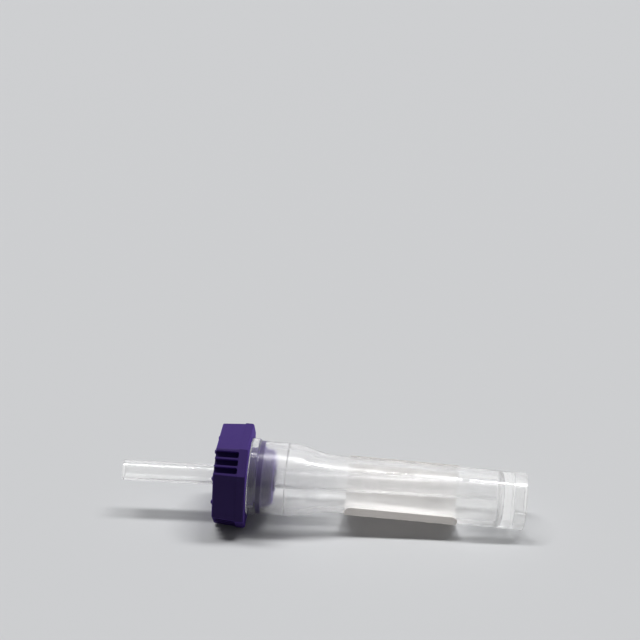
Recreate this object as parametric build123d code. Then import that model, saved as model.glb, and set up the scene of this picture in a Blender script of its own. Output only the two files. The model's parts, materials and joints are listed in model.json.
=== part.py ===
"""Capillary blood collection tube lying on a bench.

A clear moulded tube with a false bottom, a soft push-in cap with a square
ribbed head, an open capillary held in the cap, and a paper label wrapped
most of the way round the barrel.

Millimetres, +Z up. Each piece is drawn upright about the tube axis, base at
zero, and is then laid down. The tube rests on the end edge of its base and
on one flat of the cap's rim. The base end lies at +X, the cap at -X, and the
origin is the centre of the bounding box's underside.
"""

import os
from math import asin, atan2, cos, degrees, hypot, radians, sin, sqrt, tan

from build123d import *

# --- tube -------------------------------------------------------------------
barrel_radius = 4.1
barrel_length = 27.0
wall = 0.8
flare_length = 7.2
flare_ease = 0.45
neck_radius = 5.25
neck_length = 5.3
neck_wall = 0.8
neck_step = 0.12
collar_lip = 0.25
collar_height = 1.35
mouth_chamfer = 0.2
skirt_depth = 1.75
bottom_thickness = 1.4
bottom_corner = 1.2
base_edge = 0.3

# --- cap --------------------------------------------------------------------
head_height = 4.6
head_wall = 2.45
head_draft = 4.0
facet_width = 3.75
rim_height = 1.25
rim_step = 0.07
rim_edge = 0.35
head_edge = 0.25
grooves_per_corner = 3
rib_width = 0.23
groove_margin = 0.265
groove_depth = 0.75
groove_round = 0.3
dot_count = 8
dot_radius = 0.36
dot_height = 0.33
dot_inset = 1.3
dot_edge = 0.16
well_step = 0.75
well_depth = 3.7
lug_count = 4
lug_width = 1.3
lug_length = 1.0
lug_drop = 0.35
lug_root = 0.3
plug_gap = 0.25
plug_taper = 0.2
plug_depth = 3.5
plug_wall = 1.2
plug_edge = 0.3
seal_drop = 1.1
seal_width = 0.85
membrane_thickness = 1.0
guide_wall = 0.45
guide_length = 0.25

# --- capillary --------------------------------------------------------------
capillary_radius = 1.45
capillary_wall = 0.4
capillary_exposed = 13.75
capillary_floor_gap = 1.05
capillary_side_gap = 0.385
capillary_edge = 0.08

# --- label ------------------------------------------------------------------
label_thickness = 0.14
label_glue = 0.02
label_margin = 1.5
label_length = 16.0
label_from = 33.0
label_sweep = 221.0
label_corner = 1.0

# --- clearances -------------------------------------------------------------
seat_gap = 0.02
seal_clearance = 0.03
guide_clearance = 0.03

# --- what follows from them -------------------------------------------------
bore_radius = barrel_radius - wall
floor_top = skirt_depth + bottom_thickness
flare_top = barrel_length + flare_length
flare_handle = flare_ease * flare_length
tube_length = flare_top + neck_length
neck_bore = neck_radius - neck_wall
collar_radius = neck_radius + collar_lip
collar_base = tube_length - collar_height
label_start = barrel_length - label_margin - label_length
cap_underside = tube_length + seat_gap
cap_top = cap_underside + head_height
plug_end = cap_underside - plug_depth
membrane_top = plug_end + membrane_thickness
pivot_height = plug_end + membrane_thickness / 2
plug_radius = neck_bore - plug_gap
plug_end_radius = plug_radius - plug_taper
plug_bore = plug_radius - plug_wall
well_radius = plug_bore + well_step
lug_reach = well_radius - lug_length
dot_circle = well_radius + dot_inset
head_across = 2 * (well_radius + head_wall)
groove_width = (facet_width - 2 * groove_margin - (grooves_per_corner - 1) * rib_width) / grooves_per_corner
groove_pitch = groove_width + rib_width
guide_radius = capillary_radius + guide_wall
capillary_bore = capillary_radius - capillary_wall
rim_across = head_across + 2 * (head_height - rim_height) * tan(radians(head_draft)) + 2 * rim_step
capillary_foot = floor_top + capillary_floor_gap
capillary_length = cap_top + capillary_exposed - capillary_foot


def rest_tilt():
    """Angle that lays the base edge and the rim's edge on one plane."""
    run = (cap_underside + rim_edge) - base_edge
    rise = (rim_across / 2 - rim_edge) - (barrel_radius - base_edge)
    return degrees(atan2(rise, run) + asin((rim_edge - base_edge) / hypot(run, rise)))


def capillary_tilt():
    """Lean that brings the capillary's foot near the side of the bore."""
    run = pivot_height - capillary_foot
    reach = bore_radius - capillary_side_gap
    return degrees(asin(reach / hypot(run, capillary_radius)) - atan2(capillary_radius, run))


tilt = rest_tilt()
capillary_lean = capillary_tilt()


def lying_place():
    """Place of the upright drawing once it is laid down and centred."""
    slope = radians(tilt)
    lean = radians(tilt - capillary_lean)
    height = (barrel_radius - base_edge) * cos(slope) + base_edge - base_edge * sin(slope)
    foot_reach = (barrel_radius - base_edge) * sin(slope) + base_edge * (1 - cos(slope))
    above_pivot = cap_top + capillary_exposed - pivot_height
    tip_reach = (
        pivot_height * cos(slope)
        + above_pivot * cos(lean)
        + (capillary_radius - capillary_edge) * abs(sin(lean))
    )
    return Location(((tip_reach - foot_reach) / 2, 0, height), (0, tilt - 90, 0))


def leaning_place():
    """Lean of the capillary in the cap's soft membrane, drawn upright."""
    return Pos(0, 0, pivot_height) * Rot(0, -capillary_lean, 0)


def corner_square(across, facet):
    """A square with four cut corners, flats across X and Y."""
    half = across / 2
    cut = facet / sqrt(2)
    return Polygon(
        (half, half - cut),
        (half - cut, half),
        (cut - half, half),
        (-half, half - cut),
        (-half, cut - half),
        (cut - half, -half),
        (half - cut, -half),
        (half, cut - half),
        align=None,
    )


def make_tube_body():
    """Clear tube: skirt, false bottom, barrel, flared neck and collar."""
    with BuildPart() as body:
        with BuildSketch(Plane.XZ):
            with BuildLine():
                base = Line((bore_radius, 0), (barrel_radius - base_edge, 0))
                edge = TangentArc(base @ 1, (barrel_radius, base_edge), tangent=(1, 0))
                barrel = Line(edge @ 1, (barrel_radius, barrel_length))
                flare = Bezier(
                    barrel @ 1,
                    (barrel_radius, barrel_length + flare_handle),
                    (neck_radius, flare_top - flare_handle),
                    (neck_radius, flare_top),
                )
                Polyline(
                    flare @ 1,
                    (neck_radius, collar_base),
                    (collar_radius, collar_base + collar_radius - neck_radius),
                    (collar_radius, tube_length),
                    (neck_bore + mouth_chamfer, tube_length),
                    (neck_bore, tube_length - mouth_chamfer),
                    (neck_bore, flare_top),
                    (neck_bore - neck_step, flare_top),
                )
                inside = Bezier(
                    (neck_bore - neck_step, flare_top),
                    (neck_bore - neck_step, flare_top - flare_handle),
                    (bore_radius, barrel_length + flare_handle),
                    (bore_radius, barrel_length),
                )
                wall_line = Line(inside @ 1, (bore_radius, floor_top + bottom_corner))
                corner = TangentArc(
                    wall_line @ 1, (bore_radius - bottom_corner, floor_top), tangent=(0, -1)
                )
                Polyline(
                    corner @ 1,
                    (0, floor_top),
                    (0, skirt_depth),
                    (bore_radius, skirt_depth),
                    (bore_radius, 0),
                )
            make_face()
        revolve(axis=Axis.Z)
    return body.part


def make_head():
    """Square head with cut corners, drafted sides and a proud rim."""
    ledge = cap_underside + rim_height
    ledge_across = rim_across - 2 * rim_step
    facet_growth = (ledge_across - head_across) * (sqrt(2) - 1)
    rim = extrude(Pos(0, 0, cap_underside) * corner_square(rim_across, facet_width + facet_growth), rim_height)
    rim = fillet(rim.faces().sort_by(Axis.Z)[0].edges(), rim_edge)
    outline = Pos(0, 0, ledge) * corner_square(ledge_across, facet_width + facet_growth)
    top = extrude(outline, head_height - rim_height, taper=head_draft)
    sides = [e for e in top.edges() if abs((e % 0.5).Z) > 0.9]
    top_face = top.faces().sort_by(Axis.Z)[-1]
    top = fillet(sides + list(top_face.edges()), head_edge)
    return rim + top


def corner_grooves():
    """Finger grooves down each cut corner, from the top to a rounded end at the rim."""
    facet_distance = (head_across - facet_width / sqrt(2)) / sqrt(2)
    grooves = []
    for corner in range(4):
        for index in range(grooves_per_corner):
            offset = (index - (grooves_per_corner - 1) / 2) * groove_pitch
            cutter = Box(
                head_across / 2,
                groove_width,
                head_height,
                align=(Align.MIN, Align.CENTER, Align.MIN),
            )
            cutter = fillet(cutter.faces().sort_by(Axis.Z)[0].edges().filter_by(Axis.X), groove_round)
            place = Rot(0, 0, 45 + 90 * corner) * Pos(
                facet_distance - groove_depth, offset, cap_underside + rim_height
            )
            grooves.append(place * cutter)
    return grooves


def make_dot():
    """One raised grip dot with a bevelled top."""
    dot = Cylinder(dot_radius, 2 * dot_height)
    return chamfer(dot.faces().sort_by(Axis.Z)[-1].edges(), dot_edge)


def make_plug():
    """Hollow plug under the head, with its seal ring and end collar."""
    seal_radius = neck_bore - seal_clearance
    seal_top = cap_underside - seal_drop
    seal_base = seal_top - seal_width
    bulge = seal_radius - plug_radius
    with BuildPart() as plug:
        with BuildSketch(Plane.XZ):
            with BuildLine():
                Polyline(
                    (0, cap_underside + rim_height),
                    (plug_radius, cap_underside + rim_height),
                    (plug_radius, seal_top + bulge),
                    (seal_radius, seal_top),
                    (seal_radius, seal_base),
                    (plug_radius, seal_base - bulge),
                    (plug_end_radius, plug_end + plug_edge),
                    (plug_end_radius - plug_edge, plug_end),
                    (guide_radius, plug_end),
                    (guide_radius, plug_end - guide_length),
                    (0, plug_end - guide_length),
                    (0, cap_underside + rim_height),
                )
            make_face()
        revolve(axis=Axis.Z)
    return plug.part


def make_well():
    """Space inside the cap: the wide well with its lugs, then the plug's bore."""
    bore = Pos(0, 0, membrane_top) * Cylinder(
        plug_bore, cap_top - membrane_top, align=(Align.CENTER, Align.CENTER, Align.MIN)
    )
    wide = Pos(0, 0, cap_top - well_depth) * Cylinder(
        well_radius, well_depth, align=(Align.CENTER, Align.CENTER, Align.MIN)
    )
    return bore + wide


def make_lugs():
    """Four guide lugs in the well, one behind each flat of the head."""
    lugs = []
    floor = cap_top - well_depth
    for index in range(lug_count):
        lug = Box(
            lug_length + lug_root,
            lug_width,
            well_depth - lug_drop + lug_root,
            align=(Align.MIN, Align.CENTER, Align.MIN),
        )
        lugs.append(Rot(0, 0, 360 / lug_count * index) * Pos(lug_reach, 0, floor - lug_root) * lug)
    return lugs


def make_cap():
    """Soft cap: grooved head, raised dots, hollow plug and capillary guide."""
    cap = make_head()
    for groove in corner_grooves():
        cap -= groove
    cap += make_plug()
    cap -= make_well()
    for lug in make_lugs():
        cap += lug
    for index in range(dot_count):
        angle = 360 / dot_count * (index + 0.5)
        cap += Rot(0, 0, angle) * Pos(dot_circle, 0, cap_top) * make_dot()
    guide = Cylinder(capillary_radius + guide_clearance, 2 * plug_depth)
    cap -= leaning_place() * guide
    return cap


def make_capillary():
    """Open clear capillary, leaning in the membrane, foot near the floor."""
    with BuildPart() as capillary:
        with BuildSketch(Plane.XZ):
            with Locations(((capillary_radius + capillary_bore) / 2, 0)):
                Rectangle(
                    capillary_radius - capillary_bore, capillary_length, align=(Align.CENTER, Align.MIN)
                )
        revolve(axis=Axis.Z)
        rims = capillary.edges().filter_by(GeomType.CIRCLE)
        chamfer([e for e in rims if e.radius > (capillary_radius + capillary_bore) / 2], capillary_edge)
    return leaning_place() * Pos(0, 0, capillary_foot - pivot_height) * capillary.part


def corner_cutter(side, end):
    """What rounds one corner of the label: a block less a radial cylinder."""
    reach = label_corner + label_thickness
    block = Pos(0, side * reach / 2, end * reach / 2) * Box(label_corner, reach, reach)
    return block - Rot(0, 90, 0) * Cylinder(label_corner, 2 * label_corner)


def make_label():
    """Paper label wrapped on the barrel, with rounded corners."""
    inner = barrel_radius + label_glue
    with BuildPart() as wrap:
        with BuildSketch(Plane.XZ.rotated((0, 0, label_from))):
            with Locations((inner, label_start)):
                Rectangle(label_thickness, label_length, align=(Align.MIN, Align.MIN))
        revolve(axis=Axis.Z, revolution_arc=label_sweep)
    label = wrap.part
    corner_angle = degrees(label_corner / inner)
    for side, angle in ((-1, label_from + corner_angle), (1, label_from + label_sweep - corner_angle)):
        for end, height in ((-1, label_start + label_corner), (1, label_start + label_length - label_corner)):
            label -= Rot(0, 0, angle) * Pos(inner, 0, height) * corner_cutter(side, end)
    return label


def main():
    os.makedirs("parts", exist_ok=True)
    pieces = {
        "tube_body": make_tube_body(),
        "cap": make_cap(),
        "capillary": make_capillary(),
        "label": make_label(),
    }
    place = lying_place()
    for name, shape in pieces.items():
        export_step(place * shape, f"parts/{name}.step")
    print(f"tilt {tilt:.3f} deg, rim across {rim_across:.3f} mm, capillary {capillary_length:.2f} mm")
    print(f"origin shift {place.position}")


main()
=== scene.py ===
"""Capillary blood collection tube lying on a pale bench.

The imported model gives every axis, end and radius that it can. The clear tube,
the capillary and the label are turned or bent here as smooth closed meshes.
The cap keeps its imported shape, with its seal ring pressed against the neck.
Each piece gets its finish from nodes.
"""

import json
import math

import bmesh
import bpy
from bpy.props import FloatProperty, FloatVectorProperty, IntProperty, PointerProperty
from mathutils import Matrix, Quaternion, Vector
from mathutils.geometry import interpolate_bezier


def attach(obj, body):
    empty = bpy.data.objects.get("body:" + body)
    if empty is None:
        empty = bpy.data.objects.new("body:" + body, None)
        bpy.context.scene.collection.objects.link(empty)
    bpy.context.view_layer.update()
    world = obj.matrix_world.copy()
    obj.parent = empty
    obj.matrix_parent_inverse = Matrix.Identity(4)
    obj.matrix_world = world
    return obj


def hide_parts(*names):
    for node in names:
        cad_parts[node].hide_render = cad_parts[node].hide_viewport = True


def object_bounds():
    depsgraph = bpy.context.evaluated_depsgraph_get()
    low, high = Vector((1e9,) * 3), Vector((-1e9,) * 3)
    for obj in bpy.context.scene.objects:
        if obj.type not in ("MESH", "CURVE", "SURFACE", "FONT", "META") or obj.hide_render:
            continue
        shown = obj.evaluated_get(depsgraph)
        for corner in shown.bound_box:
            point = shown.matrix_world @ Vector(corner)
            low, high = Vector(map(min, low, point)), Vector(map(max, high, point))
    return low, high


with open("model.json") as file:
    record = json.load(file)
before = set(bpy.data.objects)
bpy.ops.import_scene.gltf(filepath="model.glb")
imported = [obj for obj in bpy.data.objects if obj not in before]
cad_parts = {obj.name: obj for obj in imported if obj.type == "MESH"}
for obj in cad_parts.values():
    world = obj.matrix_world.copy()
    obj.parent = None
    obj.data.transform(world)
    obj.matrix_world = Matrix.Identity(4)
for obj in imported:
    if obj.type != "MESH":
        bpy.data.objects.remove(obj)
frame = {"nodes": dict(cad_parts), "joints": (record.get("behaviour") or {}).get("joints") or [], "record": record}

bl_info = {
    "name": "Capillary Blood Tube",
    "version": (1, 0, 0),
    "blender": (4, 5, 0),
    "location": "View3D > Sidebar > Blood Tube",
    "description": "Builds the looks of a capillary blood collection tube around its packed model",
    "category": "Object",
}

MM = 0.001
CAD_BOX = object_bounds()
MOUNTS = {mount["name"]: mount for mount in frame["record"]["mounts"]}
JOINTS = {joint["name"]: joint for joint in frame["joints"]}

# points this close, in metres, are merged or lie on the same ring
TURNED_MERGE = 1e-8
CAP_MERGE = 1e-6
RING_REACH = 1e-7

# how far under the neck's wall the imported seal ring's crest may lie
SEAL_REACH = 0.1 * MM

# edges that turn by more than this stay sharp
CAP_SHARP = math.radians(28.0)
PAPER_SHARP = math.radians(50.0)

# share of the milky light that goes on through the plastic
MILK_THROUGH = 0.8
# share of the milk that is left over the cap's plug
MILK_AT_PLUG = 0.3
# what a clear wall keeps of red, green and blue in bounced light
BOUNCE_PASS = (0.996, 0.996, 0.996)
# share of the paper's light that shines through it
PAPER_GLOW = 0.30
# brightness of the paper between its fibres
PAPER_SHADE = 0.97

# share of the step inside the neck that its rounding takes
STEP_ROUNDING = 0.9
# points along each side of the flare
FLARE_POINTS = 28
# flat strips that the bent label is made of
LABEL_COLUMNS = 96
# how often light may bounce or pass a wall
LIGHT_BOUNCES = 24


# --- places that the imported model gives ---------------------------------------


def tube_axis():
    """Unit vector along the tube, from its base to its cap."""
    return Vector(JOINTS["cap_pull"]["axis"]).normalized()


def capillary_axis():
    """Unit vector along the capillary, from its foot to its open tip."""
    return Vector(JOINTS["capillary_slide"]["axis"]).normalized()


def base_centre():
    """Centre of the ring that the tube stands on when it is upright."""
    on_axis = Vector(MOUNTS["barrel"]["pos_m"])
    rim = Vector(MOUNTS["standing_rim"]["pos_m"])
    axis = tube_axis()
    return on_axis + axis * axis.dot(rim - on_axis)


def upright_place(origin, axis):
    """Matrix that lays down a piece drawn upright about Z, with its X side up."""
    side = Vector((0.0, 1.0, 0.0))
    up = side.cross(axis).normalized()
    turn = Matrix((up, side, axis)).transposed().to_4x4()
    return Matrix.Translation(origin) @ turn


def span_along(node, origin, axis):
    """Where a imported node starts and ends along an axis, from an origin."""
    reach = [axis.dot(vertex.co - origin) for vertex in frame["nodes"][node].data.vertices]
    return min(reach), max(reach)


def mount_radius(name):
    """Radius of a packed round mount, in metres."""
    return MOUNTS[name]["dims"]["r_mm"] * MM


def tube_length():
    """Length of the tube from its base ring to its mouth."""
    return span_along("tube_body", base_centre(), tube_axis())[1]


def x_places(*distances):
    """X of points on the tube's axis, given by their distances from its base."""
    return [(base_centre() + tube_axis() * distance).x for distance in distances]


def backed_span(label):
    """Places along X between which the label backs the barrel."""
    return x_places(label.start + label.height, label.start)


# --- sizes and colours that can be changed ------------------------------------


def length(name, description, default):
    """A size in metres with the add-on's usual settings."""
    return FloatProperty(
        name=name,
        description=description,
        default=default,
        precision=5,
        unit="LENGTH",
        subtype="DISTANCE",
    )


def colour(name, description, default):
    """A linear colour with the add-on's usual settings."""
    return FloatVectorProperty(
        name=name, description=description, default=default, min=0.0, max=1.0, subtype="COLOR"
    )


def angle(name, description, degrees):
    """An angle that is written in degrees."""
    return FloatProperty(
        name=name, description=description, default=math.radians(degrees), subtype="ANGLE"
    )


def share(name, description, default):
    """A plain number between nought and one."""
    return FloatProperty(
        name=name, description=description, default=default, min=0.0, max=1.0, subtype="FACTOR"
    )


class TubeSizes(bpy.types.PropertyGroup):
    """Section of the clear tube."""

    barrel_radius: length("Barrel radius", "Outer radius of the barrel", mount_radius("barrel"))
    barrel_length: length("Barrel length", "Straight length from the base to the flare", 27.0 * MM)
    wall: length("Wall", "Thickness of the barrel wall", 0.8 * MM)
    flare_length: length("Flare length", "Length over which the tube widens", 7.2 * MM)
    flare_ease: share("Flare ease", "How far the flare's ends run straight", 0.45)
    neck_radius: length("Neck radius", "Outer radius above the flare", 5.25 * MM)
    neck_wall: length("Neck wall", "Thickness of the neck wall", 0.8 * MM)
    neck_step: length("Neck step", "Small ledge inside, under the neck", 0.12 * MM)
    collar_lip: length("Collar lip", "How far the collar stands out from the neck", 0.25 * MM)
    collar_height: length("Collar height", "Height of the collar at the mouth", 1.35 * MM)
    mouth_chamfer: length("Mouth chamfer", "Lead-in cut at the mouth", 0.2 * MM)
    skirt_depth: length("Skirt depth", "Hollow below the false bottom", 1.75 * MM)
    bottom_thickness: length("Bottom thickness", "Thickness of the false bottom", 1.4 * MM)
    bottom_corner: length("Bottom corner", "Inner corner radius of the false bottom", 1.2 * MM)
    base_edge: length("Base edge", "Rounding of the base ring's outer edge", 0.3 * MM)
    fine_edge: length("Fine edge", "Rounding of the moulding's small edges", 0.06 * MM)
    seal_squeeze: length("Seal squeeze", "How far the seal ring bites into the neck", 0.03 * MM)
    milk_fade: length("Milk fade", "Length over which the milk thins by the plug", 3.0 * MM)
    steps: IntProperty(name="Steps", description="Facets round the tube", default=160, min=24)


class CapillarySizes(bpy.types.PropertyGroup):
    """Section of the capillary."""

    bore: length("Bore", "Inner radius", mount_radius("capillary_bore"))
    wall: length("Wall", "Wall thickness", 0.4 * MM)
    edge: length("Edge", "Rounding of the cut ends", 0.08 * MM)
    steps: IntProperty(name="Steps", description="Facets round the capillary", default=96, min=24)


class LabelSizes(bpy.types.PropertyGroup):
    """Cut and place of the label."""

    start: length("Start", "Distance from the base ring to the label", 9.5 * MM)
    height: length("Height", "Width of the label along the barrel", 16.0 * MM)
    glue: length("Glue", "Gap to the barrel that the glue fills", 0.02 * MM)
    thickness: length("Thickness", "Thickness of the paper", 0.14 * MM)
    corner: length("Corner", "Radius of the cut corners", 1.0 * MM)
    first_angle: angle("First angle", "Where the label starts, from the lying tube's top", 33.0)
    sweep: angle("Sweep", "How far round the barrel the label goes", 221.0)


class Finishes(bpy.types.PropertyGroup):
    """Colours of the pieces."""

    plastic: colour("Clear plastic", "Tint of the clear moulding", (0.992, 0.994, 0.995))
    capillary: colour("Capillary", "Tint of the capillary", (0.992, 0.994, 0.995))
    cap: colour("Cap", "Main colour of the soft cap", (0.0325, 0.0175, 0.090))
    cap_deep: colour("Cap, deep", "Darker colour the cap mottles towards", (0.0248, 0.0136, 0.070))
    cap_bloom: colour("Cap, bloom", "Soft bloom that the cap shows at a slant", (0.30, 0.15, 0.98))
    paper: colour("Paper", "Colour of the label", (0.985, 0.966, 0.950))
    ink: colour("Ink", "Colour of the ruled print", (0.10, 0.10, 0.11))


class StageSizes(bpy.types.PropertyGroup):
    """Floor, light and camera."""

    floor_half: length("Floor half width", "Half the width of the bench top", 3.0)
    floor_seen: colour("Floor, seen", "Colour of the bench as it is seen", (0.652, 0.660, 0.673))
    # painted light: where the bench is seen through clear plastic it takes this lighter colour, which stands in
    # for the light that the plastic gathers on it
    floor_through_painted_light: colour(
        "Floor, through plastic",
        "Colour of the bench where clear plastic gathers light on it",
        (0.89, 0.893, 0.897),
    )
    floor_bounce: colour(
        "Floor, bounce",
        "Colour of the bench as other pieces catch it",
        (0.22, 0.221, 0.224),
    )
    fill: share("Fill", "Strength of the even light from all round", 0.078)
    front_shade: share("Front shade", "Brightness that gloss sees in the front of the room", 0.2)
    lamp_height: length("Lamp height", "Height of the row of strip lamps", 8.0)
    lamp_back: length("Lamp set-back", "How far behind the tube the row hangs", 1.45)
    lamp_length: length("Lamp length", "Length of the whole row along the tube", 9.6)
    lamp_width: length("Lamp width", "Width of each strip lamp", 1.05)
    lamp_power: FloatProperty(
        name="Lamp power", description="Power of the whole row", default=715.0, unit="POWER"
    )
    camera_place: FloatVectorProperty(
        name="Camera place",
        description="Where the camera stands",
        default=(0.0106, -0.1597, 0.1052),
        subtype="TRANSLATION",
        unit="LENGTH",
    )
    camera_pitch: angle("Camera pitch", "Angle looked down", 24.70)
    camera_yaw: angle("Camera yaw", "Angle turned to the left", 4.015)
    camera_roll: angle("Camera roll", "Small sideways lean of the camera", 0.24)
    lens: FloatProperty(
        name="Lens", description="Focal length in millimetres", default=73.1, unit="CAMERA"
    )


def tube_radii(sizes):
    """Radii of the barrel's bore, the neck's bore and the collar."""
    return (
        sizes.barrel_radius - sizes.wall,
        sizes.neck_radius - sizes.neck_wall,
        sizes.neck_radius + sizes.collar_lip,
    )


# --- mesh helpers -------------------------------------------------------------


def link_mesh(name, bm, place=None):
    """Make an object from a bmesh, with its place put in the mesh."""
    if place is not None:
        bmesh.ops.transform(bm, matrix=place, verts=bm.verts)
    mesh = bpy.data.meshes.new(name)
    bm.to_mesh(mesh)
    bm.free()
    obj = bpy.data.objects.new(name, mesh)
    bpy.context.scene.collection.objects.link(obj)
    return obj


def shade_smooth(bm, sharp_angle=None):
    """Smooth every face, and keep edges sharp that turn by more than an angle."""
    for face in bm.faces:
        face.smooth = True
    if sharp_angle is None:
        return
    for edge in bm.edges:
        if edge.is_manifold:
            edge.smooth = edge.calc_face_angle() < sharp_angle


def ring_edges(bm, radius, height):
    """Edges of the circle with this radius and height about Z."""

    def on_ring(vertex):
        across = math.hypot(vertex.co.x, vertex.co.y)
        return abs(across - radius) < RING_REACH and abs(vertex.co.z - height) < RING_REACH

    return [edge for edge in bm.edges if all(on_ring(vertex) for vertex in edge.verts)]


def turn_profile(points, steps, closed=False):
    """Spin a profile of (radius, height) points about Z into a closed shell."""
    bm = bmesh.new()
    verts = [bm.verts.new((radius, 0.0, height)) for radius, height in points]
    pairs = list(zip(verts, verts[1:]))
    if closed:
        pairs.append((verts[-1], verts[0]))
    edges = [bm.edges.new(pair) for pair in pairs]
    bmesh.ops.spin(
        bm,
        geom=verts + edges,
        cent=(0.0, 0.0, 0.0),
        axis=(0.0, 0.0, 1.0),
        angle=math.tau,
        steps=steps,
        use_merge=True,
    )
    bmesh.ops.remove_doubles(bm, verts=bm.verts, dist=TURNED_MERGE)
    bmesh.ops.recalc_face_normals(bm, faces=bm.faces)
    return bm


def round_ring(bm, radius, height, offset, segments):
    """Round one circular edge of a turned shell."""
    bmesh.ops.bevel(
        bm,
        geom=ring_edges(bm, radius, height),
        offset=offset,
        offset_type="OFFSET",
        segments=segments,
        profile=0.5,
        affect="EDGES",
        material=-1,
    )


def weigh_normals(obj):
    """Keep flat and round faces true in their shading."""
    modifier = obj.modifiers.new("even_normals", "WEIGHTED_NORMAL")
    modifier.keep_sharp = True
    modifier.weight = 50


# --- node helpers -------------------------------------------------------------


def new_material(name):
    """A material with an empty node tree."""
    material = bpy.data.materials.new(name)
    material.use_nodes = True
    material.node_tree.nodes.clear()
    return material, material.node_tree


def feed(tree, socket, value):
    """Link an input to another node's output, or set it to a plain value."""
    if isinstance(value, bpy.types.NodeSocket):
        tree.links.new(value, socket)
    else:
        socket.default_value = value


def add_node(tree, kind, settings=None, **sockets):
    """Add a node, set its options, and set or link its inputs by socket name."""
    node = tree.nodes.new(kind)
    for key, value in (settings or {}).items():
        setattr(node, key, value)
    for key, value in sockets.items():
        feed(tree, node.inputs[key.replace("_", " ")], value)
    return node


def math_node(tree, operation, first, second):
    """One Math node; inputs are numbers or sockets. Returns its output."""
    node = tree.nodes.new("ShaderNodeMath")
    node.operation = operation
    for socket, value in zip(node.inputs, (first, second)):
        feed(tree, socket, value)
    return node.outputs[0]


def blend_colours(tree, factor, first, second):
    """Mix two colours, plain or linked, by a factor. Returns the colour output."""
    node = tree.nodes.new("ShaderNodeMix")
    node.data_type = "RGBA"
    feed(tree, node.inputs[0], factor)
    # inputs 6 and 7 and output 2 are the Mix node's colours
    for socket, tone in ((node.inputs[6], first), (node.inputs[7], second)):
        linked = isinstance(tone, bpy.types.NodeSocket)
        feed(tree, socket, tone if linked else (*tone, 1.0))
    return node.outputs[2]


def blend_shaders(tree, factor, first, second):
    """Mix the shaders of two nodes by a factor. Returns the mixing node."""
    node = tree.nodes.new("ShaderNodeMixShader")
    feed(tree, node.inputs[0], factor)
    feed(tree, node.inputs[1], first.outputs[0])
    feed(tree, node.inputs[2], second.outputs[0])
    return node


def object_noise(tree, scale, detail=2.0, rough=0.5):
    """Noise on the piece's own coordinates, with a scale in waves per metre."""
    coords = tree.nodes.new("ShaderNodeTexCoord")
    noise = add_node(
        tree,
        "ShaderNodeTexNoise",
        Vector=coords.outputs["Object"],
        Scale=scale,
        Detail=detail,
        Roughness=rough,
    )
    return noise.outputs["Fac"]


def spread(tree, value, low, high):
    """Map a nought-to-one value on to a range."""
    node = add_node(tree, "ShaderNodeMapRange", Value=value, To_Min=low, To_Max=high)
    return node.outputs[0]


def object_x(tree):
    """X of the place on the piece that is shaded, in metres."""
    place = tree.nodes.new("ShaderNodeTexCoord")
    split = add_node(tree, "ShaderNodeSeparateXYZ", Vector=place.outputs["Object"])
    return split.outputs["X"]


def stripe(tree, coordinate, low, high):
    """One where a coordinate lies between two values, else nought."""
    above = math_node(tree, "GREATER_THAN", coordinate, low)
    below = math_node(tree, "LESS_THAN", coordinate, high)
    return math_node(tree, "MULTIPLY", above, below)


def finish_surface(tree, shader):
    """Wire a shader to the material's output."""
    output = tree.nodes.new("ShaderNodeOutputMaterial")
    tree.links.new(shader, output.inputs["Surface"])


# --- materials ----------------------------------------------------------------


def rippled_normal(tree, ripple):
    """Normal of a moulded wall, with long swells and short waves on them."""
    swell = add_node(
        tree,
        "ShaderNodeBump",
        Strength=0.55 * ripple,
        Distance=0.2 * MM,
        Height=object_noise(tree, scale=190.0, detail=1.0),
    )
    waves = add_node(
        tree,
        "ShaderNodeBump",
        Strength=0.24 * ripple,
        Distance=0.1 * MM,
        Height=object_noise(tree, scale=900.0, rough=0.6),
        Normal=swell.outputs["Normal"],
    )
    return waves.outputs["Normal"]


def lamp_pass(tree, passing, backed):
    """Share of a lamp's light that one wall lets through.

    It falls from the first share of passing, where the light meets the wall
    straight on, to the second, where it grazes the wall. Between two places
    along X, where the label backs the wall, the wall passes all of it.
    """
    slant = add_node(tree, "ShaderNodeLayerWeight", Blend=0.5)
    graze = math_node(tree, "POWER", slant.outputs["Facing"], 1.5)
    bare = spread(tree, graze, *passing)
    return math_node(tree, "MAXIMUM", bare, stripe(tree, object_x(tree), *backed))


def thinned_milk(tree, milk, thinning):
    """The milk's share, lower at the first and full at the second of two places along X."""
    thinned = add_node(
        tree,
        "ShaderNodeMapRange",
        Value=object_x(tree),
        From_Min=thinning[0],
        From_Max=thinning[1],
        To_Min=MILK_AT_PLUG * milk,
        To_Max=milk,
    )
    return thinned.outputs[0]


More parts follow.
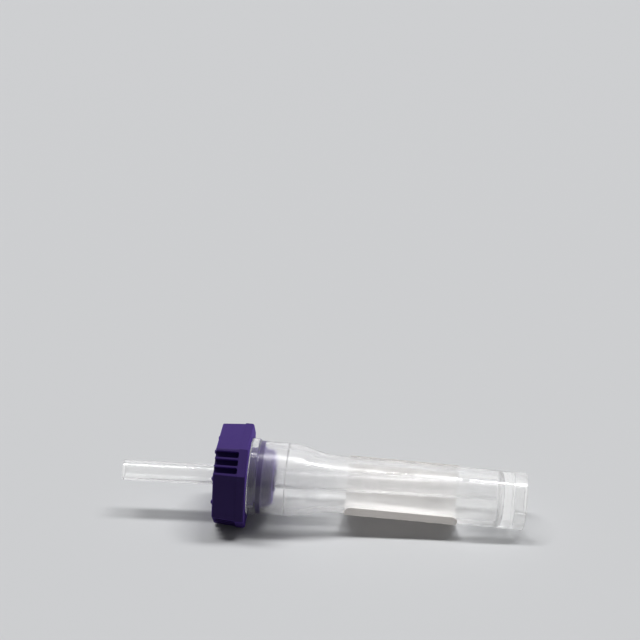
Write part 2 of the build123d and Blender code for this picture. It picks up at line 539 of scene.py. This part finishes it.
def clear_plastic(name, tint, ripple, haze, milk, passing, backed, thinning=None):
    """Clear plastic with ripples, patches of haze and some milk.

    Haze is the roughness at its clearest and at its haziest. Milk is the
    share that scatters, and thinning the places along X between which it
    grows to that. Lamps shine through, as lamp_pass says.
    """
    material, tree = new_material(name)
    patches = add_node(
        tree,
        "ShaderNodeMapRange",
        Value=object_noise(tree, scale=260.0),
        From_Min=0.44,
        From_Max=0.60,
    )
    plastic = add_node(
        tree,
        "ShaderNodeBsdfPrincipled",
        Base_Color=(*tint, 1.0),
        Roughness=spread(tree, patches.outputs[0], *haze),
        IOR=1.49,
        Transmission_Weight=0.95,
        Normal=rippled_normal(tree, ripple),
    )
    passed = add_node(tree, "ShaderNodeBsdfTransparent", Color=lamp_pass(tree, passing, backed))
    even = add_node(tree, "ShaderNodeBsdfTransparent", Color=(*BOUNCE_PASS, 1.0))
    front = add_node(tree, "ShaderNodeBsdfDiffuse", Color=(*tint, 1.0))
    back = add_node(tree, "ShaderNodeBsdfTranslucent", Color=(*tint, 1.0))
    path = tree.nodes.new("ShaderNodeLightPath")
    bent = blend_shaders(tree, path.outputs["Is Diffuse Ray"], plastic, even)
    scattered = blend_shaders(tree, MILK_THROUGH, front, back)
    milk_share = thinned_milk(tree, milk, thinning) if thinning else milk
    whole = blend_shaders(tree, milk_share, bent, scattered)
    lit = blend_shaders(tree, path.outputs["Is Shadow Ray"], whole, passed)
    finish_surface(tree, lit.outputs[0])
    return material


def cap_plastic(finishes):
    """Satin purple soft moulding with a fine grain and faint mottling."""
    material, tree = new_material("satin_purple")
    mottle = object_noise(tree, scale=900.0, detail=4.0, rough=0.6)
    tone = blend_colours(tree, mottle, finishes.cap_deep, finishes.cap)
    satin = spread(tree, object_noise(tree, scale=1500.0, detail=3.0), low=0.48, high=0.62)
    grain = add_node(
        tree,
        "ShaderNodeBump",
        Strength=0.12,
        Distance=0.04 * MM,
        Height=object_noise(tree, scale=9000.0),
    )
    skin = add_node(
        tree,
        "ShaderNodeBsdfPrincipled",
        Base_Color=tone,
        Roughness=satin,
        IOR=1.45,
        Specular_IOR_Level=0.2,
        Sheen_Weight=0.62,
        Sheen_Roughness=0.7,
        Sheen_Tint=(*finishes.cap_bloom, 1.0),
        Normal=grain.outputs["Normal"],
    )
    finish_surface(tree, skin.outputs[0])
    return material


def patch(tree, across, along, box):
    """One inside a box of (across low, across high, along low, along high)."""
    in_columns = stripe(tree, across, *box[:2])
    in_rows = stripe(tree, along, *box[2:])
    return math_node(tree, "MULTIPLY", in_columns, in_rows)


# boxes in millimetres on the flat label: round the barrel, then along it
RULED_LINES = [(at, at + 0.14, 1.6, 14.4) for at in (5.4, 7.2, 9.0, 10.8)]
FIELD_BARS = [(at + 0.5, at + 0.95, 1.6, 4.2) for at in (5.4, 7.2, 9.0)]
TICK_FRAMES = [(12.3, 13.5, at, at + 1.2) for at in (2.0, 4.4, 6.8)]
EDGE_MARK = (0.2, 1.1, 6.4, 7.4)
# how far a tick frame's hole lies inside each of its edges
FRAME_INSETS = (0.12, -0.12, 0.12, -0.12)


def print_mask(tree):
    """Ruled lines, short bars, tick frames and one edge mark, on the label's own map."""
    layout = add_node(tree, "ShaderNodeUVMap", {"uv_map": "label"})
    split = add_node(tree, "ShaderNodeSeparateXYZ", Vector=layout.outputs["UV"])
    across = math_node(tree, "DIVIDE", split.outputs["X"], MM)
    along = math_node(tree, "DIVIDE", split.outputs["Y"], MM)
    mask = patch(tree, across, along, EDGE_MARK)
    for box in RULED_LINES + FIELD_BARS:
        mask = math_node(tree, "MAXIMUM", mask, patch(tree, across, along, box))
    for box in TICK_FRAMES:
        hole = [edge + inset for edge, inset in zip(box, FRAME_INSETS)]
        filled = patch(tree, across, along, box)
        emptied = patch(tree, across, along, hole)
        mask = math_node(tree, "MAXIMUM", mask, math_node(tree, "SUBTRACT", filled, emptied))
    return mask


def label_paper(name, finishes, ink_share):
    """Matt label stock with a faint fibre, printed, or seen from behind."""
    material, tree = new_material(name)
    fibre = object_noise(tree, scale=5200.0, detail=4.0, rough=0.65)
    shade = tuple(part * PAPER_SHADE for part in finishes.paper)
    paper = blend_colours(tree, fibre, shade, finishes.paper)
    inked = math_node(tree, "MULTIPLY", print_mask(tree), ink_share)
    tone = blend_colours(tree, inked, paper, finishes.ink)
    nap = add_node(tree, "ShaderNodeBump", Strength=0.15, Distance=0.03 * MM, Height=fibre)
    stock = add_node(
        tree,
        "ShaderNodeBsdfPrincipled",
        Base_Color=tone,
        Roughness=spread(tree, fibre, low=0.55, high=0.72),
        Specular_IOR_Level=0.3,
        Normal=nap.outputs["Normal"],
    )
    glow = add_node(tree, "ShaderNodeBsdfTranslucent", Color=tone)
    finish_surface(tree, blend_shaders(tree, PAPER_GLOW, stock, glow).outputs[0])
    return material


def seen_share(tree):
    """One for rays that look at a surface straight, in a mirror or through glass."""
    path = tree.nodes.new("ShaderNodeLightPath").outputs
    straight = math_node(tree, "MAXIMUM", path["Is Camera Ray"], path["Is Glossy Ray"])
    return math_node(tree, "MAXIMUM", straight, path["Is Transmission Ray"])


def mirrored_front(tree):
    """Up to one for reflected rays that go to the camera's side of the room."""
    path = tree.nodes.new("ShaderNodeLightPath")
    aim = tree.nodes.new("ShaderNodeTexCoord")
    split = add_node(tree, "ShaderNodeSeparateXYZ", Vector=aim.outputs["Generated"])
    front = add_node(
        tree, "ShaderNodeMapRange", Value=split.outputs["Y"], From_Min=0.3, From_Max=-0.3
    )
    return math_node(tree, "MULTIPLY", front.outputs[0], path.outputs["Is Reflection Ray"])


def bench_top(stage):
    """Pale matt bench that keeps the shadow and gives little light back, and is painted lighter where it is seen
    through clear plastic.
    """
    material, tree = new_material("pale_bench")
    tone = blend_colours(tree, seen_share(tree), stage.floor_bounce, stage.floor_seen)
    # painted light: seen through clear plastic, the bench turns lighter in place of the light that the plastic
    # would gather on it
    path = tree.nodes.new("ShaderNodeLightPath")
    tone = blend_colours(tree, path.outputs["Is Transmission Ray"], tone, stage.floor_through_painted_light)
    top = add_node(
        tree,
        "ShaderNodeBsdfPrincipled",
        Base_Color=tone,
        Roughness=0.75,
        Specular_IOR_Level=0.1,
    )
    finish_surface(tree, top.outputs[0])
    return material


# --- operators ----------------------------------------------------------------


class BLOODTUBE_OT_tube(bpy.types.Operator):
    """Turn the clear tube with its false bottom, flare and collar"""

    bl_idname = "bloodtube.tube"
    bl_label = "Clear Tube"

    def execute(self, context):
        sizes = context.scene.bloodtube_tube
        finishes = context.scene.bloodtube_finishes
        bm = turn_profile(self.outline(sizes), sizes.steps)
        self.round_edges(bm, sizes)
        shade_smooth(bm)
        tube = link_mesh("clear_tube", bm, upright_place(base_centre(), tube_axis()))
        weigh_normals(tube)
        plug_end = span_along("cap", base_centre(), tube_axis())[0]
        tube.data.materials.append(
            clear_plastic(
                "clear_tube_plastic",
                finishes.plastic,
                ripple=1.0,
                haze=(0.03, 0.24),
                milk=0.135,
                passing=(0.89, 0.08),
                backed=backed_span(context.scene.bloodtube_label),
                thinning=x_places(plug_end, plug_end - sizes.milk_fade),
            )
        )
        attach(tube, "tube")
        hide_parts("tube_body")
        return {"FINISHED"}

    def outline(self, sizes):
        """Section from the inner floor, up the inside and down the outside to the skirt."""
        mouth = tube_length()
        bore, neck_bore, collar = tube_radii(sizes)
        floor_top = sizes.skirt_depth + sizes.bottom_thickness
        flare_top = sizes.barrel_length + sizes.flare_length
        collar_base = mouth - sizes.collar_height
        return [
            (0.0, floor_top),
            (bore, floor_top),
            *self.flare(sizes, bore, neck_bore - sizes.neck_step),
            (neck_bore, flare_top),
            (neck_bore, mouth - sizes.mouth_chamfer),
            (neck_bore + sizes.mouth_chamfer, mouth),
            (collar, mouth),
            (collar, collar_base + sizes.collar_lip),
            (sizes.neck_radius, collar_base),
            *reversed(self.flare(sizes, sizes.barrel_radius, sizes.neck_radius)),
            (sizes.barrel_radius, 0.0),
            (bore, 0.0),
            (bore, sizes.skirt_depth),
            (0.0, sizes.skirt_depth),
        ]

    @staticmethod
    def flare(sizes, low_radius, high_radius):
        """Points of one side of the flare, from the barrel up to the neck."""
        flare_top = sizes.barrel_length + sizes.flare_length
        handle = sizes.flare_ease * sizes.flare_length
        curve = interpolate_bezier(
            (low_radius, sizes.barrel_length, 0.0),
            (low_radius, sizes.barrel_length + handle, 0.0),
            (high_radius, flare_top - handle, 0.0),
            (high_radius, flare_top, 0.0),
            FLARE_POINTS,
        )
        return [(point.x, point.y) for point in curve]

    @staticmethod
    def round_edges(bm, sizes):
        """Round the floor's corner, the base, the step in the neck and the fine edges."""
        mouth = tube_length()
        bore, neck_bore, collar = tube_radii(sizes)
        floor_top = sizes.skirt_depth + sizes.bottom_thickness
        flare_top = sizes.barrel_length + sizes.flare_length
        collar_base = mouth - sizes.collar_height
        round_ring(bm, bore, floor_top, sizes.bottom_corner, segments=8)
        round_ring(bm, sizes.barrel_radius, 0.0, sizes.base_edge, segments=6)
        round_ring(bm, neck_bore, flare_top, STEP_ROUNDING * sizes.neck_step, segments=5)
        fine_rings = (
            (neck_bore, mouth - sizes.mouth_chamfer),
            (neck_bore + sizes.mouth_chamfer, mouth),
            (collar, mouth),
            (collar, collar_base + sizes.collar_lip),
            (sizes.neck_radius, collar_base),
            (bore, 0.0),
            (bore, sizes.skirt_depth),
        )
        for radius, height in fine_rings:
            round_ring(bm, radius, height, sizes.fine_edge, segments=3)


class BLOODTUBE_OT_capillary(bpy.types.Operator):
    """Turn the open capillary that leans in the cap"""

    bl_idname = "bloodtube.capillary"
    bl_label = "Capillary"

    def execute(self, context):
        sizes = context.scene.bloodtube_capillary
        finishes = context.scene.bloodtube_finishes
        on_axis = Vector(MOUNTS["capillary_bore"]["pos_m"])
        axis = capillary_axis()
        foot, tip = span_along("capillary", on_axis, axis)
        outer = sizes.bore + sizes.wall
        profile = [(sizes.bore, foot), (outer, foot), (outer, tip), (sizes.bore, tip)]
        bm = turn_profile(profile, sizes.steps, closed=True)
        for height in (foot, tip):
            round_ring(bm, outer, height, sizes.edge, segments=4)
            round_ring(bm, sizes.bore, height, sizes.edge / 2, segments=3)
        shade_smooth(bm)
        capillary = link_mesh("open_capillary", bm, upright_place(on_axis, axis))
        weigh_normals(capillary)
        capillary.data.materials.append(
            clear_plastic(
                "clear_capillary_plastic",
                finishes.capillary,
                ripple=0.3,
                haze=(0.04, 0.18),
                milk=0.10,
                passing=(0.80, 0.68),
                backed=backed_span(context.scene.bloodtube_label),
            )
        )
        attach(capillary, "capillary")
        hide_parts("capillary")
        return {"FINISHED"}


class BLOODTUBE_OT_cap(bpy.types.Operator):
    """Smooth the soft cap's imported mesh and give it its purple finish"""

    bl_idname = "bloodtube.cap"
    bl_label = "Soft Cap"

    def execute(self, context):
        finishes = context.scene.bloodtube_finishes
        bm = bmesh.new()
        bm.from_mesh(frame["nodes"]["cap"].data)
        bmesh.ops.remove_doubles(bm, verts=bm.verts, dist=CAP_MERGE)
        self.squeeze_seal(bm, context.scene.bloodtube_tube)
        shade_smooth(bm, CAP_SHARP)
        cap = link_mesh("soft_cap", bm)
        cap.data.materials.append(cap_plastic(finishes))
        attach(cap, "cap")
        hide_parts("cap")
        return {"FINISHED"}

    @staticmethod
    def squeeze_seal(bm, sizes):
        """Press the seal ring against the neck, as the soft plastic does."""
        origin, axis, mouth = base_centre(), tube_axis(), tube_length()
        neck_bore = tube_radii(sizes)[1]
        for vertex in bm.verts:
            along = axis.dot(vertex.co - origin)
            on_axis = origin + axis * along
            out = vertex.co - on_axis
            if along < mouth and neck_bore - SEAL_REACH < out.length < neck_bore:
                vertex.co = on_axis + out.normalized() * (neck_bore + sizes.seal_squeeze)


class BLOODTUBE_OT_label(bpy.types.Operator):
    """Cut the label flat with round corners, then bend it round the barrel"""

    bl_idname = "bloodtube.label"
    bl_label = "Label"

    def execute(self, context):
        sizes = context.scene.bloodtube_label
        finishes = context.scene.bloodtube_finishes
        inner = context.scene.bloodtube_tube.barrel_radius + sizes.glue
        bm = self.cut_flat(sizes, inner * sizes.sweep)
        self.bend(bm, sizes, inner)
        shade_smooth(bm, PAPER_SHARP)
        label = link_mesh("wrapped_label", bm, upright_place(base_centre(), tube_axis()))
        label.data.materials.append(label_paper("label_print_side", finishes, ink_share=0.9))
        label.data.materials.append(label_paper("label_glue_side", finishes, ink_share=0.10))
        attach(label, "tube")
        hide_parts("label")
        return {"FINISHED"}

    @staticmethod
    def cut_flat(sizes, reach):
        """Flat label: X round the barrel, Y along it, Z out through the paper."""
        bm = bmesh.new()
        bmesh.ops.create_grid(bm, x_segments=1, y_segments=1, size=0.5)
        bmesh.ops.scale(bm, verts=bm.verts, vec=(reach, sizes.height, 1.0))
        bmesh.ops.translate(bm, verts=bm.verts, vec=(reach / 2, sizes.height / 2, 0.0))
        bmesh.ops.bevel(
            bm,
            geom=list(bm.verts),
            offset=sizes.corner,
            offset_type="OFFSET",
            segments=10,
            profile=0.5,
            affect="VERTICES",
            material=-1,
        )
        for column in range(1, LABEL_COLUMNS):
            bmesh.ops.bisect_plane(
                bm,
                geom=[*bm.verts, *bm.edges, *bm.faces],
                dist=TURNED_MERGE,
                plane_co=(reach * column / LABEL_COLUMNS, 0.0, 0.0),
                plane_no=(1.0, 0.0, 0.0),
            )
        raised = bmesh.ops.extrude_face_region(bm, geom=list(bm.faces), use_keep_orig=True)
        top = [item for item in raised["geom"] if isinstance(item, bmesh.types.BMVert)]
        bmesh.ops.translate(bm, verts=top, vec=(0.0, 0.0, sizes.thickness))
        bmesh.ops.recalc_face_normals(bm, faces=bm.faces)
        return bm

    @staticmethod
    def bend(bm, sizes, inner):
        """Lay the flat label round the barrel and keep its flat map."""
        flat_map = bm.loops.layers.uv.new("label")
        for face in bm.faces:
            glued = face.normal.z < -0.5
            face.material_index = 1 if glued else 0
            for loop in face.loops:
                loop[flat_map].uv = (loop.vert.co.x, loop.vert.co.y)
        for vertex in bm.verts:
            turned = sizes.first_angle + vertex.co.x / inner
            radius = inner + vertex.co.z
            vertex.co = (
                radius * math.cos(turned),
                radius * math.sin(turned),
                sizes.start + vertex.co.y,
            )
        bm.normal_update()
        bmesh.ops.recalc_face_normals(bm, faces=bm.faces)


# where the strip lamps start and end in their row, as shares of its length
LAMP_SPANS = (
    (-0.5, -0.110),
    (-0.088, -0.070),
    (-0.054, -0.041),
    (-0.014, -0.002),
    (0.024, 0.046),
    (0.074, 0.085),
    (0.125, 0.5),
)


class BLOODTUBE_OT_stage(bpy.types.Operator):
    """Lay the pale bench, hang the strip lamps and set the camera"""

    bl_idname = "bloodtube.stage"
    bl_label = "Stage"

    def execute(self, context):
        stage = context.scene.bloodtube_stage
        self.lay_bench(stage)
        self.light(context, stage)
        self.set_camera(context, stage)
        return {"FINISHED"}

    @staticmethod
    def lay_bench(stage):
        """A wide flat bench top at the height that the tube rests on."""
        bm = bmesh.new()
        bmesh.ops.create_grid(bm, x_segments=1, y_segments=1, size=stage.floor_half)
        bench = link_mesh("bench", bm, Matrix.Translation((0.0, 0.0, CAD_BOX[0].z)))
        bench.data.materials.append(bench_top(stage))

    @staticmethod
    def light(context, stage):
        """A row of strip lamps overhead with small gaps, and an even pale world."""
        centre = Vector((0.0, stage.lamp_back, stage.lamp_height))
        lit = sum(end - start for start, end in LAMP_SPANS)
        for start, end in LAMP_SPANS:
            lamp = bpy.data.lights.new("strip_lamp", "AREA")
            lamp.shape = "RECTANGLE"
            lamp.size = stage.lamp_length * (end - start)
            lamp.size_y = stage.lamp_width
            lamp.energy = stage.lamp_power * (end - start) / lit
            hung = bpy.data.objects.new("strip_lamp", lamp)
            hung.location = centre + Vector((stage.lamp_length * (start + end) / 2, 0.0, 0.0))
            hung.rotation_euler = (-centre).to_track_quat("-Z", "Y").to_euler()
            context.scene.collection.objects.link(hung)
        world = bpy.data.worlds.new("pale_room")
        world.use_nodes = True
        tree = world.node_tree
        tree.nodes.clear()
        seen_room = spread(tree, mirrored_front(tree), 1.0, stage.front_shade)
        even = math_node(tree, "SUBTRACT", seen_room, stage.fill)
        even = math_node(tree, "MULTIPLY", even, seen_share(tree))
        strength = math_node(tree, "ADD", even, stage.fill)
        seen = blend_colours(tree, seen_share(tree), (1.0, 1.0, 1.0), stage.floor_seen)
        room = add_node(tree, "ShaderNodeBackground", Color=seen, Strength=strength)
        output = tree.nodes.new("ShaderNodeOutputWorld")
        tree.links.new(room.outputs[0], output.inputs["Surface"])
        context.scene.world = world
        context.scene.view_settings.view_transform = "Standard"
        context.scene.cycles.max_bounces = LIGHT_BOUNCES
        context.scene.cycles.transmission_bounces = LIGHT_BOUNCES
        context.scene.cycles.transparent_max_bounces = LIGHT_BOUNCES

    @staticmethod
    def set_camera(context, stage):
        """The camera stands in front, looks down and a little to the left."""
        lens = bpy.data.cameras.new("camera")
        lens.lens = stage.lens
        lens.sensor_width = 36.0
        lens.clip_start = 0.01
        camera = bpy.data.objects.new("camera", lens)
        pitch, yaw = stage.camera_pitch, stage.camera_yaw
        gaze = Vector(
            (-math.sin(yaw) * math.cos(pitch), math.cos(yaw) * math.cos(pitch), -math.sin(pitch))
        )
        camera.location = stage.camera_place
        lean = Quaternion(gaze, -stage.camera_roll)
        camera.rotation_euler = (lean @ gaze.to_track_quat("-Z", "Y")).to_euler()
        context.scene.collection.objects.link(camera)
        context.scene.camera = camera


class BLOODTUBE_PT_panel(bpy.types.Panel):
    """Buttons for each piece and the stage, with their sizes"""

    bl_idname = "BLOODTUBE_PT_panel"
    bl_label = "Blood Tube"
    bl_space_type = "VIEW_3D"
    bl_region_type = "UI"
    bl_category = "Blood Tube"

    def draw(self, context):
        for operator, group in STEPS:
            self.layout.operator(operator.bl_idname)
            settings = getattr(context.scene, group)
            for name in settings.bl_rna.properties.keys():
                if name not in ("rna_type", "name"):
                    self.layout.prop(settings, name)


GROUPS = {
    "bloodtube_tube": TubeSizes,
    "bloodtube_capillary": CapillarySizes,
    "bloodtube_finishes": Finishes,
    "bloodtube_label": LabelSizes,
    "bloodtube_stage": StageSizes,
}
STEPS = (
    (BLOODTUBE_OT_tube, "bloodtube_tube"),
    (BLOODTUBE_OT_capillary, "bloodtube_capillary"),
    (BLOODTUBE_OT_cap, "bloodtube_finishes"),
    (BLOODTUBE_OT_label, "bloodtube_label"),
    (BLOODTUBE_OT_stage, "bloodtube_stage"),
)


def register():
    """Register the settings, the operators and the panel."""
    for name, group in GROUPS.items():
        bpy.utils.register_class(group)
        setattr(bpy.types.Scene, name, PointerProperty(type=group))
    for operator, _ in STEPS:
        bpy.utils.register_class(operator)
    bpy.utils.register_class(BLOODTUBE_PT_panel)


def unregister():
    """Take the panel, the operators and the settings away again."""
    bpy.utils.unregister_class(BLOODTUBE_PT_panel)
    for operator, _ in reversed(STEPS):
        bpy.utils.unregister_class(operator)
    for name, group in reversed(GROUPS.items()):
        delattr(bpy.types.Scene, name)
        bpy.utils.unregister_class(group)


def main():
    """Register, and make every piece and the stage."""
    register()
    bpy.ops.bloodtube.tube()
    bpy.ops.bloodtube.capillary()
    bpy.ops.bloodtube.cap()
    bpy.ops.bloodtube.label()
    bpy.ops.bloodtube.stage()


if __name__ == "__main__":
    main()
